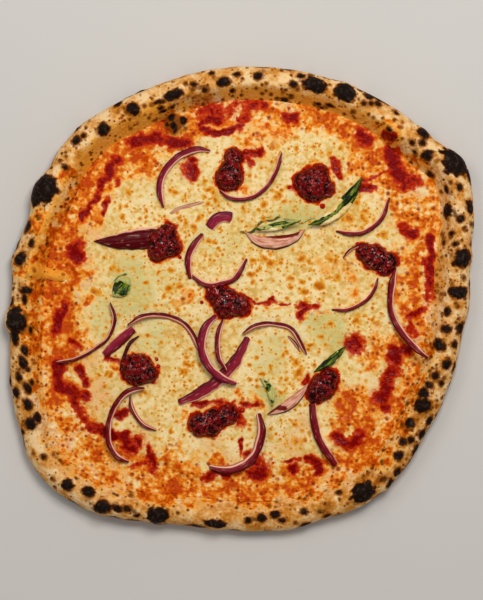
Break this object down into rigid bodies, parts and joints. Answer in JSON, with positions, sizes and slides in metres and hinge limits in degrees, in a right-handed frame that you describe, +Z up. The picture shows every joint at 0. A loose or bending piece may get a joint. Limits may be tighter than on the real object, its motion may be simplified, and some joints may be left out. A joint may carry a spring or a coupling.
{
  "type": "nduja pizza",
  "caption": "Whole round thin pizza with a puffed, charred rim, tomato sauce and melted cheese, topped with dollops of soft nduja sausage, red onion strips and basil.",
  "frame": {"origin": "middle of the flat underside, which is also the bottom centre of the whole pizza's box", "axes": "+Z up out of the toppings, +X to the right and +Y to the top of the shown view"},
  "size_m": [0.322, 0.3194, 0.0224],
  "materials": {
    "baked_dough": "dry matt baked dough with black char blisters",
    "tomato_sauce": "thin cooked sauce with orange oil, half gloss",
    "melted_cheese": "melted cream cheese sheet with golden brown spots, soft gloss",
    "soft_nduja": "wet dark red sausage paste, glossy",
    "red_onion": "cooked onion, purple skin side and pale pink flesh, glossy",
    "basil": "wilted dark green leaf, half gloss"
  },
  "bodies": {
    "root": {"crust": "baked_dough", "tomato_sauce": "tomato_sauce", "cheese": "melted_cheese", "nduja_1": "soft_nduja", "nduja_2": "soft_nduja", "nduja_3": "soft_nduja", "nduja_4": "soft_nduja", "nduja_5": "soft_nduja", "nduja_6": "soft_nduja", "nduja_7": "soft_nduja", "nduja_8": "soft_nduja", "onion_01": "red_onion", "onion_02": "red_onion", "onion_03": "red_onion", "onion_04": "red_onion", "onion_05": "red_onion", "onion_06": "red_onion", "onion_07": "red_onion", "onion_08": "red_onion", "onion_09": "red_onion", "onion_10": "red_onion", "onion_11": "red_onion", "onion_12": "red_onion", "onion_13": "red_onion", "onion_14": "red_onion", "onion_15": "red_onion", "onion_16": "red_onion", "onion_17": "red_onion", "onion_18": "red_onion", "onion_19": "red_onion", "onion_20": "red_onion", "onion_21": "red_onion", "onion_22": "red_onion", "onion_23": "red_onion", "onion_24": "red_onion", "onion_25": "red_onion", "onion_26": "red_onion", "basil_1": "basil", "basil_2": "basil", "basil_3": "basil", "basil_4": "basil", "basil_5": "basil"}
  },
  "joints": []
}
